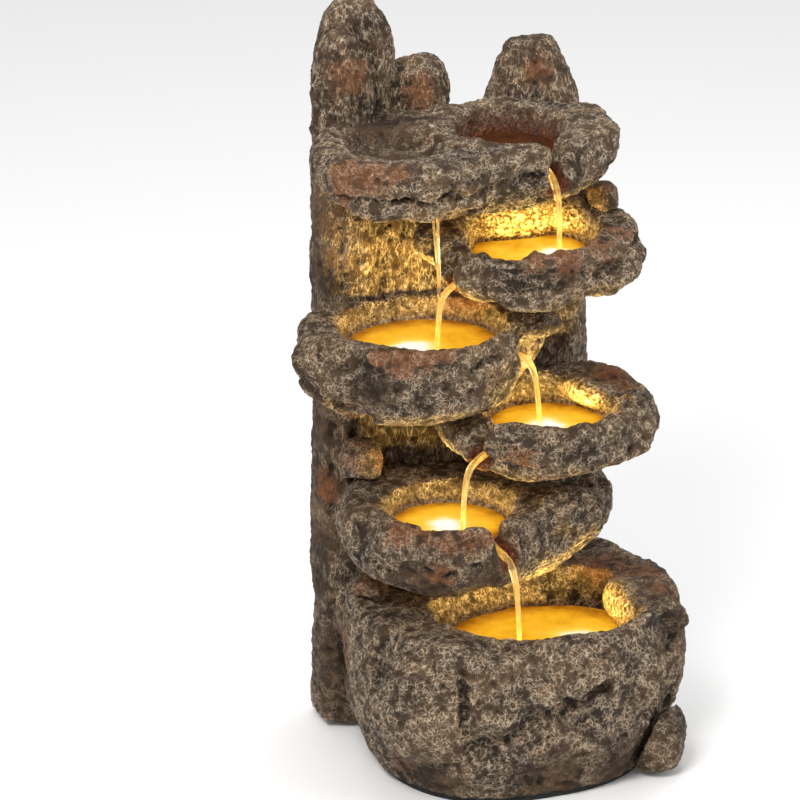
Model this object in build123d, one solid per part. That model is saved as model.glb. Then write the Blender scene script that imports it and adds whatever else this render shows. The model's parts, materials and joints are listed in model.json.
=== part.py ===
"""Tabletop cascade fountain: cast stone-look bowls on a hollow rock wall, with a pump and lamps inside.

Millimetres. +Z is up, the front faces -Y, and the origin is the middle of the resting face under the base.
"""

from build123d import *
from math import cos, radians, sin
import os

# ---------------------------------------------------------------- driving dimensions
PAD_THICKNESS = 3.0  # foam sheet under the base
SEAM_Z = 92.0  # top of the base casting, where the wall stands
SEAT_Z = 322.0  # top of the wall, where the crown shelf sits
BACK_Y = 89.0  # flat back of the base and the wall
SKIN = 5.0  # casting thickness at the back
STEP = 30  # degrees between the points of a stone's outline
FIT = 0.05  # radial clearance of parts that turn or pull out

CAVITY_X = (-72.0, 58.0)  # hollow inside the wall
CAVITY_Y = (58.0, BACK_Y - SKIN)
CAVITY_Z = (SEAM_Z - 1, SEAT_Z - 2)
CHAMBER_X = (-58.0, 50.0)  # pump chamber in the base, behind the basin
CHAMBER_Y = (42.0, BACK_Y - SKIN)
CHAMBER_FLOOR = 12.0

WINDOW_X = (-50.0, 30.0)  # service opening in the back of the wall
WINDOW_Z = (103.0, 186.0)
COVER_THICKNESS = 3.5
COVER_LAP = 9.0  # how far the cover reaches past the window all round
RIB_GAP = 0.3  # between the cover's locating rib and the window
RIB_DEPTH = 4.0
SCREW_R = 1.5
SCREW_HEAD_R = 2.9
SCREW_LENGTH = 7.5
SCREW_INSET = 4.5  # from the cover's edge

HOSE_R = 5.0
HOSE_BORE_R = 3.5
BARB_R = 3.4
BARB_BORE_R = 2.3
HOSE_HOLE_R = 5.6
HOSE_TOP_Z = 314.0
NOZZLE_X = 9.0  # where the water rises into the source dish
NOZZLE_Y = 30.0
ELBOW_END_Y = 46.0

LAMP_R = 11.0
LAMP_SINK = 7.0  # how deep a lamp sits in its dish floor
LAMP_LIP = 1.0
LENS_DOME = 3.0
LEAD_R = 1.2
LEAD_HOLE_R = 1.8

SPLITTER = ((38.0, 57.0), (62.0, 80.0), (100.0, 118.0))  # sealed wiring block in the cavity
GROMMET_X = 48.0
GROMMET_Z = 108.0
GROMMET_BORE_R = 3.0
GROMMET_R = 5.4
GROMMET_FLANGE_R = 7.5
GROMMET_FLANGE = 1.5

PUMP = ((-14.0, 24.0), (48.0, 80.0), (17.0, 49.0))
PUMP_AXIS_YZ = (64.0, 32.0)
OUTLET_X = -10.0
OUTLET_TOP = 62.0
ROTOR_R = 7.5
BLADE_R = 11.0
BLADES = 6
VOLUTE_R = 12.5
SHAFT_R = 1.0
INTAKE_DEPTH = 13.0

# ---------------------------------------------------------------- the bowls, from the top of the cascade down
# centre and radii: the outline, every STEP degrees from +X, at scale 1
# levels: height, scale, and how far the outline has slid along X and Y
# dish: centre, rim radii, floor radii, floor z; spout: trough floor where it leaves the dish, and at its lip
BOWLS = {
    "upper_right_bowl": {
        "centre": (20, 6),
        "radii": [56, 57, 58, 52, 50, 52, 58, 62, 52, 50, 52, 55],
        "levels": [
            (257, 0.60, 2, 2), (266, 0.88, 1, 0), (276, 1.0, 0, 0),
            (286, 0.98, 0, 0), (292, 0.92, 0, 0),
        ],
        "dish": ((17, 8), (38, 41), (28, 30), 268),
        "spout": ((-10, -3, 274), (-39, -13, 266)),
        "lamp": (28, 2),
        "lead_y": 75.5,
    },
    "upper_left_bowl": {
        "centre": (-46, 4),
        "radii": [60, 86, 66, 54, 60, 66, 68, 60, 53, 49, 49, 54],
        "levels": [
            (199, 0.62, 4, 2), (211, 0.90, 1, 0), (225, 1.0, 0, 0),
            (238, 0.98, 1, 0), (246, 0.92, 3, 0),
        ],
        "dish": ((-44, 5), (45, 40), (34, 30), 222),
        "spout": ((-14, -9, 232), (5, -20, 227)),
        "lamp": (-52, 0),
        "lead_y": 78.5,
    },
    "lower_right_bowl": {
        "centre": (22, -8),
        "radii": [59, 60, 66, 62, 66, 62, 58, 61, 55, 52, 54, 58],
        "levels": [
            (165, 0.60, 0, 4), (173, 0.88, 0, 1), (184, 1.0, 0, 0),
            (194, 0.98, 0, 0), (201, 0.92, -1, 0),
        ],
        "dish": ((20, -12), (37, 38), (27, 28), 177),
        "spout": ((-8, -28, 185), (-32, -39, 178)),
        "lamp": (18, -14),
        "lead_y": 81.5,
    },
    "lower_left_bowl": {
        "centre": (-30, -8),
        "radii": [86, 100, 78, 62, 66, 64, 60, 59, 58, 57, 54, 60],
        "levels": [
            (106, 0.62, 2, 2), (117, 0.88, 0, 0), (130, 1.0, 0, 0),
            (142, 0.98, 0, 0), (151, 0.92, 0, 0),
        ],
        "dish": ((-36, -16), (35, 35), (26, 26), 127),
        "spout": ((-26, -42, 137), (-18, -62, 132)),
        "lamp": (-38, -18),
        "lead_y": 75.5,
    },
}
SPOUT_WIDTH = 12.0
SPOUT_DEPTH = 24.0

BASE_CENTRE = (0, -6)
BASE_RADII = [96, 98, 102, 95, 104, 93, 88, 91, 91, 84, 87, 92]
BASE_LEVELS = [
    (PAD_THICKNESS, 0.82, 0, 0), (18, 0.90, 0, 0), (42, 0.98, 0, 0),
    (66, 1.0, 0, 0), (82, 0.98, 0, 0), (SEAM_Z, 0.93, 1, 1),
]
BASE_HOLLOW = [(PAD_THICKNESS - 1, 0.70, 0, 0), (36, 0.78, 0, 0)]  # open underneath, closed by the pad
BASIN = ((13, -24), (58, 48), (42, 34), 50)
BASIN_LAMP = (31, -32)
RETURN_R = 8.0
RETURN_Z = 64.0

CROWN_CENTRE = (-22, 12)
CROWN_RADII = [88, 86, 62, 52, 62, 74, 80, 76, 55, 40, 45, 66]
CROWN_LEVELS = [
    (303, 0.48, 4, 3), (312, 0.76, 2, 1), (323, 0.95, 0, 0), (335, 1.0, 0, 0), (345, 0.94, 2, 0),
]
SOURCE = ((9, 21), (30, 30), (24, 24), 327)
SOURCE_SPOUT = ((16, 0, 329), (21, -14, 320))
DRY_DISH = ((-57, 10), (27, 28), (21, 22), 333)


# ---------------------------------------------------------------- shared shapes
def block(x, y, z):
    """A box from its limits on each axis."""
    sides = [b - a for a, b in (x, y, z)]
    middle = [(a + b) / 2 for a, b in (x, y, z)]
    return Pos(*middle) * Box(*sides)


def rod(start, way, radius, length):
    """A cylinder that starts at a point and runs along a direction."""
    return extrude(Plane(origin=start, z_dir=way) * Circle(radius), amount=length)


def stone(centre, radii, levels):
    """A boulder: one closed outline lofted through its levels."""
    cx, cy = centre
    rings = []
    for z, size, dx, dy in levels:
        points = [
            (cx + dx + size * r * cos(radians(STEP * i)), cy + dy + size * r * sin(radians(STEP * i)), z)
            for i, r in enumerate(radii)
        ]
        rings.append(make_face(Spline(*points, periodic=True)))
    return loft(rings)


def hollow(centre, rim, floor, z_floor, z_rim):
    """The inside of a dish, from its oval floor out to its oval rim and on past it."""
    past = 4.0
    grow = past / (z_rim - z_floor)
    top = [r + (r - f) * grow for r, f in zip(rim, floor)]
    rings = [Pos(*centre, z_floor) * Ellipse(*floor), Pos(*centre, z_rim + past) * Ellipse(*top)]
    return loft(rings, ruled=True)


def trough(start, lip):
    """The round-bottomed channel of a spout, from its floor at the dish out past its floor at the lip."""
    radius = SPOUT_WIDTH / 2
    past = 16.0
    lift = Vector(0, 0, radius)
    way = Vector(*lip) - Vector(*start)
    flow = Plane(origin=Vector(*start) + lift, z_dir=way, x_dir=Vector(0, 0, 1).cross(way))
    side = -1 if flow.y_dir.Z < 0 else 1
    profile = Circle(radius) + Pos(0, side * SPOUT_DEPTH / 2) * Rectangle(SPOUT_WIDTH, SPOUT_DEPTH)
    return extrude(flow * profile, amount=way.length + past)


def tube(points, bends, outer, bore=0.0):
    """A hose or lead: straight runs joined by tangent arcs."""
    path = FilletPolyline(*points, radius=bends)
    body = sweep((path ^ 0) * Circle(outer), path=path)
    if bore:
        body -= sweep((path ^ 0) * Circle(bore), path=path)
    return body


def largest(shape):
    return max(shape.solids(), key=lambda s: s.volume)


# ---------------------------------------------------------------- the wall and its standing rocks
WALL_OUTLINE = [
    (-78, BACK_Y), (-84, 74), (-84, 54), (-72, 47), (-58, 50), (-40, 53), (-36, 50), (-14, 48),
    (-8, 53), (12, 50), (36, 53), (58, 51), (67, 60), (69, 74), (66, BACK_Y),
]
# outline, then (height, size) where the straight part ends, part way up the taper, and at the top
STANDING_ROCKS = {
    "front_left": (
        [(-84, 54), (-86, 68), (-80, 71), (-60, 70), (-57, 58), (-64, 50), (-72, 47)],
        [(366, 1.0), (382, 0.80), (391, 0.42)],
    ),
    "tall": (
        [(-78, BACK_Y), (-80, 72), (-70, 66), (-48, 64), (-36, 70), (-37, BACK_Y)],
        [(372, 1.0), (392, 0.80), (402, 0.42)],
    ),
    "short": (
        [(-38, BACK_Y), (-37, 70), (-28, 62), (-14, 62), (-6, 72), (-7, BACK_Y)],
        [(350, 1.0), (361, 0.85), (367, 0.55)],
    ),
    "right": (
        [(15, BACK_Y), (14, 72), (26, 62), (50, 61), (66, 68), (66, BACK_Y)],
        [(334, 1.0), (362, 0.66), (371, 0.48)],
    ),
}


def standing_rock(outline, taper):
    """Straight sides up from the seat, then drawn in towards the top; the back leans in half as much."""
    middle_x = sum(x for x, _ in outline) / len(outline)
    middle_y = (max(y for _, y in outline) + sum(y for _, y in outline) / len(outline)) / 2
    rings = []
    for z, size in [(SEAT_Z, 1.0)] + taper:
        ring = [(middle_x + size * (x - middle_x), middle_y + size * (y - middle_y), z) for x, y in outline]
        rings.append(make_face(Polyline(*ring, close=True)))
    return loft(rings, ruled=True)


def wall_outside():
    foot = Pos(0, 0, SEAM_Z) * make_face(Polyline(*WALL_OUTLINE, close=True))
    body = extrude(foot, amount=SEAT_Z - SEAM_Z)
    for outline, taper in STANDING_ROCKS.values():
        body += standing_rock(outline, taper)
    return body


def cover_outline():
    x = (WINDOW_X[0] - COVER_LAP, WINDOW_X[1] + COVER_LAP)
    z = (WINDOW_Z[0] - COVER_LAP, WINDOW_Z[1] + COVER_LAP)
    return x, z


def screw_places():
    x, z = cover_outline()
    across = (x[0] + SCREW_INSET, x[1] - SCREW_INSET)
    up = (z[0] + SCREW_INSET, z[1] - SCREW_INSET)
    return [(px, pz) for px in across for pz in up]


def lamp_lead_hole(lamp, z_floor, back_y):
    """The drilled way from a lamp's recess back into the wall."""
    z = z_floor - LAMP_SINK / 2 - 1
    return rod((lamp[0], lamp[1], z), (0, 1, 0), LEAD_HOLE_R, back_y - lamp[1])


def rock_wall(outside):
    body = outside - block(CAVITY_X, CAVITY_Y, CAVITY_Z)
    body -= block(WINDOW_X, (BACK_Y - SKIN - 1, BACK_Y + 1), WINDOW_Z)
    body -= rod((NOZZLE_X, 40, HOSE_TOP_Z), (0, 1, 0), HOSE_HOLE_R, CAVITY_Y[0] - 39)
    body -= rod((GROMMET_X, CAVITY_Y[1] - 1, GROMMET_Z), (0, 1, 0), GROMMET_R, SKIN + 2)
    for bowl in BOWLS.values():
        body -= lamp_lead_hole(bowl["lamp"], bowl["dish"][3], CAVITY_Y[0] + 1)
    for x, z in screw_places():
        body -= rod((x, CAVITY_Y[1] - 1, z), (0, 1, 0), SCREW_R + FIT, SKIN + 2)
    return largest(body)


# ---------------------------------------------------------------- the bowls and the crown
def lamp_recess(lamp, z_floor):
    return rod((*lamp, z_floor - LAMP_SINK), (0, 0, 1), LAMP_R + FIT, LAMP_SINK + 3)


def bowl_stone(name):
    bowl = BOWLS[name]
    return stone(bowl["centre"], bowl["radii"], bowl["levels"])


def cascade_bowl(name, wall):
    """One tier: its stone with the dish, spout, lamp recess and lead hole cut, fitted to the wall."""
    bowl = BOWLS[name]
    centre, rim, floor, z_floor = bowl["dish"]
    z_rim = bowl["levels"][-1][0]
    body = bowl_stone(name)
    body -= hollow(centre, rim, floor, z_floor, z_rim)
    body -= trough(*bowl["spout"])
    body -= lamp_recess(bowl["lamp"], z_floor)
    body -= lamp_lead_hole(bowl["lamp"], z_floor, CAVITY_Y[0])
    if name == "lower_right_bowl":
        body -= bowl_stone("upper_left_bowl")
    return largest(body - wall)


def crown_shelf(wall):
    z_rim = CROWN_LEVELS[-1][0]
    body = stone(CROWN_CENTRE, CROWN_RADII, CROWN_LEVELS)
    body -= hollow(*SOURCE, z_rim)
    body -= hollow(*DRY_DISH, z_rim)
    body -= trough(*SOURCE_SPOUT)
    body -= rod((NOZZLE_X, NOZZLE_Y - HOSE_HOLE_R, HOSE_TOP_Z), (0, 1, 0), HOSE_HOLE_R, 60)
    body -= rod((NOZZLE_X, NOZZLE_Y, HOSE_TOP_Z - HOSE_HOLE_R), (0, 0, 1), HOSE_HOLE_R, 30)
    return largest(body - wall)


# ---------------------------------------------------------------- the base
def in_front_of(y):
    """The space in front of a plane across the fountain, to keep with an intersection."""
    return block((-200, 200), (-200, y), (-10, 500))


def reservoir_base():
    centre, rim, floor, z_floor = BASIN
    foot = Pos(0, 0, PAD_THICKNESS) * make_face(Polyline(*WALL_OUTLINE, close=True))
    body = stone(BASE_CENTRE, BASE_RADII, BASE_LEVELS) & in_front_of(BACK_Y)
    body += extrude(foot, amount=SEAM_Z - PAD_THICKNESS)
    body -= stone(BASE_CENTRE, BASE_RADII, BASE_HOLLOW) & in_front_of(CHAMBER_Y[0] - 7)
    body -= hollow(centre, rim, floor, z_floor, SEAM_Z)
    body -= block(CHAMBER_X, CHAMBER_Y, (CHAMBER_FLOOR, SEAM_Z + 1))
    body -= rod((centre[0], centre[1] + 20, RETURN_Z), (0, 1, 0), RETURN_R, CHAMBER_Y[0] - centre[1] - 19)
    body -= lamp_recess(BASIN_LAMP, z_floor)
    body -= lamp_lead_hole(BASIN_LAMP, z_floor, CHAMBER_Y[0] + 1)
    return largest(body)


def base_pad():
    """Soft foam sheet glued under the base; its underside is the resting face."""
    outline = stone(BASE_CENTRE, BASE_RADII, [(0, 0.78, 0, 0), (PAD_THICKNESS, 0.78, 0, 0)])
    return largest(outline & in_front_of(BACK_Y - 12))


# ---------------------------------------------------------------- small stones bonded on
def pebble(centre, radius, levels):
    """A small stone, a little longer towards the back than it is wide."""
    radii = [radius * (1.0, 0.95, 1.05, 1.15, 1.1, 0.95)[i % 6] for i in range(12)]
    return stone(centre, radii, [(z, size, 0, 0) for z, size in levels])


def side_boulder(base):
    levels = [(PAD_THICKNESS, 0.7), (9, 0.93), (20, 1.0), (31, 0.9), (39, 0.55)]
    return largest(pebble((66, -50), 19, levels) - base)


def small_stones(wall):
    knob = pebble((-72, 8), 10.5, [(SEAM_Z, 0.9), (97, 1.0), (103, 0.6)])
    ledge = pebble((-68, 36), 12, [(151, 0.95), (161, 1.0), (171, 0.6)])
    perch = pebble((61, 22), 9.5, [(292, 0.95), (298, 1.0), (306, 0.65)])
    return {
        "left_knob_stone": knob,
        "left_ledge_stone": largest(ledge - wall),
        "right_perch_stone": largest(perch - wall),
    }


# ---------------------------------------------------------------- lamps and wiring
def lamp(place, z_floor):
    """A sealed lamp in a dish floor: cup, board with its light chips, and domed lens."""
    x, y = place
    bottom = z_floor - LAMP_SINK
    top = z_floor + LAMP_LIP
    wall_r = LAMP_R - 1.5
    cup = rod((x, y, bottom), (0, 0, 1), LAMP_R, top - bottom)
    cup -= rod((x, y, bottom + 2), (0, 0, 1), wall_r, 20)
    board = rod((x, y, bottom + 2), (0, 0, 1), wall_r - FIT, 1.2)
    for turn in range(3):
        chip = Rot(0, 0, 120 * turn) * Pos(4.5, 0, 0) * Box(3, 3, 0.9)
        board += Pos(x, y, bottom + 3.65) * chip
    cap_r = LAMP_R - 0.5
    sphere_r = (cap_r**2 + LENS_DOME**2) / (2 * LENS_DOME)
    dome = Pos(x, y, top + LENS_DOME - sphere_r) * Sphere(sphere_r)
    dome &= block((x - 20, x + 20), (y - 20, y + 20), (top, top + 20))
    lens = dome + rod((x, y, top - 2), (0, 0, 1), wall_r - FIT, 2)
    return cup, board, lens


def lamp_leads():
    """Each lamp's lead runs straight back into the cavity, then down to its place in the splitter's top."""
    leads = {}
    x_splitter, _, z_splitter = SPLITTER
    ends = {"lower_left_bowl": 0, "upper_left_bowl": 1, "lower_right_bowl": 2, "upper_right_bowl": 3}
    for name, bowl in BOWLS.items():
        (x, y), z = bowl["lamp"], bowl["dish"][3] - LAMP_SINK / 2 - 1
        back = bowl["lead_y"]
        end_x = x_splitter[0] + 3 + 3.9 * ends[name]
        last = min(z, z_splitter[1] + 18)
        points = [(x, y + LAMP_R, z), (x, back, z), (end_x, back, last), (end_x, back, z_splitter[1])]
        leads[name] = tube(points, [6, 3.5 if last == z else 6], LEAD_R)
    x, y = BASIN_LAMP
    z = BASIN[3] - LAMP_SINK / 2 - 1
    points = [(x, y + LAMP_R, z), (x, 68, z), (40, 68, z + 30), (40, 68, z_splitter[0])]
    leads["basin"] = tube(points, [8, 12], LEAD_R)
    return leads


def lead_splitter():
    """Potted block where the lamp and pump leads meet; its socket faces the grommet."""
    body = fillet(block(*SPLITTER).edges().filter_by(Axis.Y), 2)
    body -= rod((GROMMET_X, SPLITTER[1][1] - 9, GROMMET_Z), (0, 1, 0), 2.75, 10)
    return body + rod((GROMMET_X, SPLITTER[1][1] - 9, GROMMET_Z), (0, 1, 0), 1.0, 8)


def supply_grommet():
    inside, outside = BACK_Y - SKIN, BACK_Y
    start = (GROMMET_X, inside - GROMMET_FLANGE, GROMMET_Z)
    length = SKIN + 2 * GROMMET_FLANGE
    body = rod(start, (0, 1, 0), GROMMET_R, length)
    body += rod(start, (0, 1, 0), GROMMET_FLANGE_R, GROMMET_FLANGE)
    body += rod((GROMMET_X, outside, GROMMET_Z), (0, 1, 0), GROMMET_FLANGE_R, GROMMET_FLANGE)
    return body - rod(start, (0, 1, 0), GROMMET_BORE_R, length)


# ---------------------------------------------------------------- pump, along X, with its intake towards -X
def pump_parts():
    (x0, x1), y_span, (z0, z1) = PUMP
    ay, az = PUMP_AXIS_YZ
    housing = fillet(block(*PUMP).edges().filter_by(Axis.X), 4)
    housing -= rod((x0, ay, az), (1, 0, 0), VOLUTE_R, 6)
    housing -= rod((x0 + 6, ay, az), (1, 0, 0), ROTOR_R + 1, 24)
    housing -= rod((x0 + 30, ay, az), (1, 0, 0), SHAFT_R, 3)
    housing += rod((OUTLET_X, ay, z1), (0, 0, 1), BARB_R, OUTLET_TOP - z1)
    housing -= rod((OUTLET_X, ay, az + 4), (0, 0, 1), BARB_BORE_R, OUTLET_TOP - az)
    housing += rod((x1, 76, 30), (1, 0, 0), 3.2, 3)

    cover = rod((x0, ay, az), (1, 0, 0), VOLUTE_R - FIT, 2) - rod((x0, ay, az), (1, 0, 0), 5, 2)
    shaft = rod((x0 + 3, ay, az), (1, 0, 0), SHAFT_R, 30)

    impeller = rod((x0 + 7, ay, az), (1, 0, 0), ROTOR_R, 21)
    impeller += rod((x0 + 3, ay, az), (1, 0, 0), 4, 4)
    for turn in range(BLADES):
        blade = block((x0 + 3, x0 + 5.6), (-0.6, 0.6), (2, BLADE_R))
        impeller += Pos(0, ay, az) * (Rot(360 / BLADES * turn, 0, 0) * blade)
    impeller -= rod((x0, ay, az), (1, 0, 0), SHAFT_R + FIT, 40)

    intake = fillet(block((x0 - INTAKE_DEPTH, x0), y_span, (z0, z1)).edges().filter_by(Axis.X), 4)
    intake -= block((x0 - INTAKE_DEPTH + 2, x0 + 1), (y_span[0] + 2, y_span[1] - 2), (z0 + 2, z1 - 2))
    for row in range(6):
        slot_z = z0 + 5 + 4 * row
        intake -= block((x0 - INTAKE_DEPTH - 1, x0 - INTAKE_DEPTH + 3), (54, 74), (slot_z, slot_z + 2))
    front = x0 - INTAKE_DEPTH
    for rail_y in (ay - 7, ay + 5):
        intake += block((front - 2.5, front), (rail_y, rail_y + 2), (z0 + 4, z1 - 4))

    slider = block((front - 1.8, front - 0.1), (ay - 4.8, ay + 4.8), (z0 + 5, z0 + 16))
    slider += block((front - 5, front - 1.8), (ay - 3, ay + 3), (z0 + 8, z0 + 11))

    cups = []
    for cup_x in (x0 + 7, x1 - 6):
        for cup_y in (y_span[0] + 7, y_span[1] - 7):
            cup = Cone(5.5, 2.2, z0 - CHAMBER_FLOOR)
            cups.append(Pos(cup_x, cup_y, (z0 + CHAMBER_FLOOR) / 2) * cup)
    return {
        "pump_housing": largest(housing),
        "impeller_cover": cover,
        "impeller_shaft": shaft,
        "impeller": largest(impeller),
        "intake_cover": largest(intake),
        "flow_slider": slider,
        "suction_cups": Compound(cups),
    }


def pump_lead():
    start_x = PUMP[0][1] + 3
    points = [(start_x, 76, 30), (46, 76, 30), (46, 76, SPLITTER[2][0])]
    return tube(points, [10], 1.8)


def riser_hose():
    ay = PUMP_AXIS_YZ[0]
    points = [
        (OUTLET_X, ay, PUMP[2][1] + 1), (OUTLET_X, ay, 96), (NOZZLE_X, 68, 190),
        (NOZZLE_X, 68, HOSE_TOP_Z), (NOZZLE_X, ELBOW_END_Y, HOSE_TOP_Z),
    ]
    return tube(points, [90, 90, 9], HOSE_R, HOSE_BORE_R)


def source_elbow():
    """Moulded elbow that turns the riser up through the floor of the source dish."""
    outer = HOSE_HOLE_R - 0.2
    nozzle_top = SOURCE[3] + 2
    body = rod((NOZZLE_X, NOZZLE_Y, HOSE_TOP_Z), (0, 1, 0), outer, ELBOW_END_Y - NOZZLE_Y)
    body += rod((NOZZLE_X, NOZZLE_Y, HOSE_TOP_Z), (0, 0, 1), outer, nozzle_top - HOSE_TOP_Z)
    body += Pos(NOZZLE_X, NOZZLE_Y, HOSE_TOP_Z) * Sphere(outer)
    body += rod((NOZZLE_X, ELBOW_END_Y, HOSE_TOP_Z), (0, 1, 0), BARB_R, 7)
    body -= rod((NOZZLE_X, NOZZLE_Y, HOSE_TOP_Z), (0, 1, 0), BARB_BORE_R, 30)
    body -= rod((NOZZLE_X, NOZZLE_Y, HOSE_TOP_Z), (0, 0, 1), BARB_BORE_R, 30)
    return body


# ---------------------------------------------------------------- service cover
def rear_cover():
    x, z = cover_outline()
    plate = fillet(block(x, (BACK_Y, BACK_Y + COVER_THICKNESS), z).edges().filter_by(Axis.Y), 6)
    outer_x = (WINDOW_X[0] + RIB_GAP, WINDOW_X[1] - RIB_GAP)
    outer_z = (WINDOW_Z[0] + RIB_GAP, WINDOW_Z[1] - RIB_GAP)
    rib_y = (BACK_Y - RIB_DEPTH, BACK_Y)
    rib = block(outer_x, rib_y, outer_z)
    rib -= block((outer_x[0] + 2, outer_x[1] - 2), rib_y, (outer_z[0] + 2, outer_z[1] - 2))
    body = plate + rib
    for px, pz in screw_places():
        body -= rod((px, BACK_Y - 1, pz), (0, 1, 0), SCREW_R + 0.2, 10)
        body -= rod((px, BACK_Y + COVER_THICKNESS - 2, pz), (0, 1, 0), SCREW_HEAD_R + 0.2, 5)
    grip_x = (x[0] + x[1]) / 2
    body -= rod((grip_x, BACK_Y + COVER_THICKNESS + 6.5, z[0] + 14), (0, 0, 1), 8, z[1] - z[0] - 28)
    return largest(body)


def cover_screws():
    screws = []
    seat = BACK_Y + COVER_THICKNESS - 2
    for px, pz in screw_places():
        screw = rod((px, seat, pz), (0, 1, 0), SCREW_HEAD_R, 2)
        screw += rod((px, seat, pz), (0, -1, 0), SCREW_R, SCREW_LENGTH)
        for long_x, long_z in ((1.8, 0.35), (0.35, 1.8)):
            screw -= block((px - long_x, px + long_x), (seat + 1, seat + 3), (pz - long_z, pz + long_z))
        screws.append(screw)
    return Compound(screws)


# ---------------------------------------------------------------- build and write
def main():
    os.makedirs("parts", exist_ok=True)
    wall = wall_outside()
    base = reservoir_base()
    nodes = {
        "base_pad": base_pad(),
        "reservoir_base": base,
        "side_boulder": side_boulder(base),
        "rock_wall": rock_wall(wall),
        "crown_shelf": crown_shelf(wall),
        "lead_splitter": lead_splitter(),
        "supply_grommet": supply_grommet(),
        "pump_lead": pump_lead(),
        "riser_hose": riser_hose(),
        "source_elbow": source_elbow(),
        "rear_cover": rear_cover(),
        "cover_screws": cover_screws(),
    }
    nodes.update(small_stones(wall))
    nodes.update(pump_parts())
    lamps = {name: (bowl["lamp"], bowl["dish"][3]) for name, bowl in BOWLS.items()}
    lamps["basin"] = (BASIN_LAMP, BASIN[3])
    leads = lamp_leads()
    for name, (place, z_floor) in lamps.items():
        cup, board, lens = lamp(place, z_floor)
        short = name.replace("_bowl", "")
        nodes[f"{short}_lamp_cup"] = cup
        nodes[f"{short}_lamp_board"] = board
        nodes[f"{short}_lamp_lens"] = lens
        nodes[f"{short}_lamp_lead"] = leads[name]
    for name in BOWLS:
        nodes[name] = cascade_bowl(name, wall)
    for name, shape in nodes.items():
        export_step(shape, f"parts/{name}.step")


main()
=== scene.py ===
import json
from math import cos, pi, radians, sin
import bpy
import numpy as np
from mathutils import Matrix, Vector


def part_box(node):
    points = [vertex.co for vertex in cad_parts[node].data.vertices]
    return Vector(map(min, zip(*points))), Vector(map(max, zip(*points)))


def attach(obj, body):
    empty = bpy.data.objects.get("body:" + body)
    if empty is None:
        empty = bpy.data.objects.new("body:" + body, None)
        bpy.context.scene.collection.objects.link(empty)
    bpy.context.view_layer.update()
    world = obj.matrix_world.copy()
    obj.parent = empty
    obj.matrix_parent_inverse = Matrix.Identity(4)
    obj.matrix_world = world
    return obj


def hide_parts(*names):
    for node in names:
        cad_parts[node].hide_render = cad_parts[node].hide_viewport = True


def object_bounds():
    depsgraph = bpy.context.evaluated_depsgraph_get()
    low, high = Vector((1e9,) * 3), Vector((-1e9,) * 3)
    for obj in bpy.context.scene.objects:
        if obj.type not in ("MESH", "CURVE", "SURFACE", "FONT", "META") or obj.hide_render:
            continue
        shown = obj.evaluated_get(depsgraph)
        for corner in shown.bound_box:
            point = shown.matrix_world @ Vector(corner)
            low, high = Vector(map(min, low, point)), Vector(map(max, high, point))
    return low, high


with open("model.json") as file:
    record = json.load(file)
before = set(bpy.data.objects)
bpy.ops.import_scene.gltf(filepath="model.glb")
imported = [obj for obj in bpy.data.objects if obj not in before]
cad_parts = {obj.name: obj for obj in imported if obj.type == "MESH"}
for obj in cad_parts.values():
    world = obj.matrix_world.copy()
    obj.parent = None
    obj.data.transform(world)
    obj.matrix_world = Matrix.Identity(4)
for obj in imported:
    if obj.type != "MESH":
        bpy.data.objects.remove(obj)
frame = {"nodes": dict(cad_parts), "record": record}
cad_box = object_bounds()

# ---------------------------------------------------------------- camera, floor and studio light
# A long lens looks down a little from the left of the front, with the fountain standing to the right of the middle.
# A white table runs off behind it, under a broad soft key from the upper left and a weaker fill from the right.
MM = 0.001
view_turn, view_rise, view_distance = radians(-18), radians(20.5), 4.0
aim = Vector((-52.6, 17.1, 198.5)) * MM
towards_camera = Vector((sin(view_turn) * cos(view_rise), -cos(view_turn) * cos(view_rise), sin(view_rise)))
bpy.ops.object.camera_add(location=aim + view_distance * towards_camera)
camera = bpy.context.object
camera.rotation_euler = towards_camera.to_track_quat("Z", "Y").to_euler()
camera.data.sensor_width, camera.data.lens = 36.0, 342.0
camera.data.clip_end = 50.0
bpy.context.scene.camera = camera
bpy.context.scene.view_settings.view_transform = "Standard"

world = bpy.data.worlds.new("studio")
bpy.context.scene.world = world
world.use_nodes = True
sky = world.node_tree.nodes["Background"]
sky.inputs["Color"].default_value = (1.0, 1.0, 1.0, 1.0)
sky.inputs["Strength"].default_value = 0.62


def soft_box(name, place, size, power, colour):
    """A square studio lamp that looks at the middle of the fountain."""
    bpy.ops.object.light_add(type="AREA", location=place)
    lamp = bpy.context.object
    lamp.name = name
    lamp.data.size = size
    lamp.data.energy = power
    lamp.data.color = colour
    lamp.rotation_euler = (Vector(place) - Vector((0, 0, 0.2))).to_track_quat("Z", "Y").to_euler()


soft_box("key_box", (-0.75, -0.95, 1.25), 0.55, 19.0, (1.0, 0.99, 0.97))
soft_box("fill_box", (1.2, -0.7, 0.6), 0.8, 6.0, (0.97, 0.98, 1.0))
soft_box("top_box", (0.1, 0.3, 1.6), 0.8, 9.0, (1.0, 1.0, 1.0))

bpy.ops.mesh.primitive_plane_add(size=24.0)
floor = bpy.context.object
floor.name = "table_top"
white_table = bpy.data.materials.new("white_table")
white_table.use_nodes = True
shader = white_table.node_tree.nodes["Principled BSDF"]
shader.inputs["Base Color"].default_value = (0.93, 0.93, 0.93, 1.0)
shader.inputs["Roughness"].default_value = 0.9
floor.data.materials.append(white_table)

# ---------------------------------------------------------------- crown shelf, the top tier
# A flat-topped slab that juts forward from the standing rocks and holds the source dish and the dry dish. Like every
# rock here it is a polyresin casting from a hand-carved master, bonded to its neighbours: it is worn round, gets its
# facets, beds, chips, cracks and ledges, and last the crinkled skin that the carving tool leaves.


def choose(*pieces):
    """Select only these objects; the last one is active."""
    bpy.ops.object.select_all(action="DESELECT")
    for piece in pieces:
        piece.select_set(True)
    bpy.context.view_layer.objects.active = pieces[-1]


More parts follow.
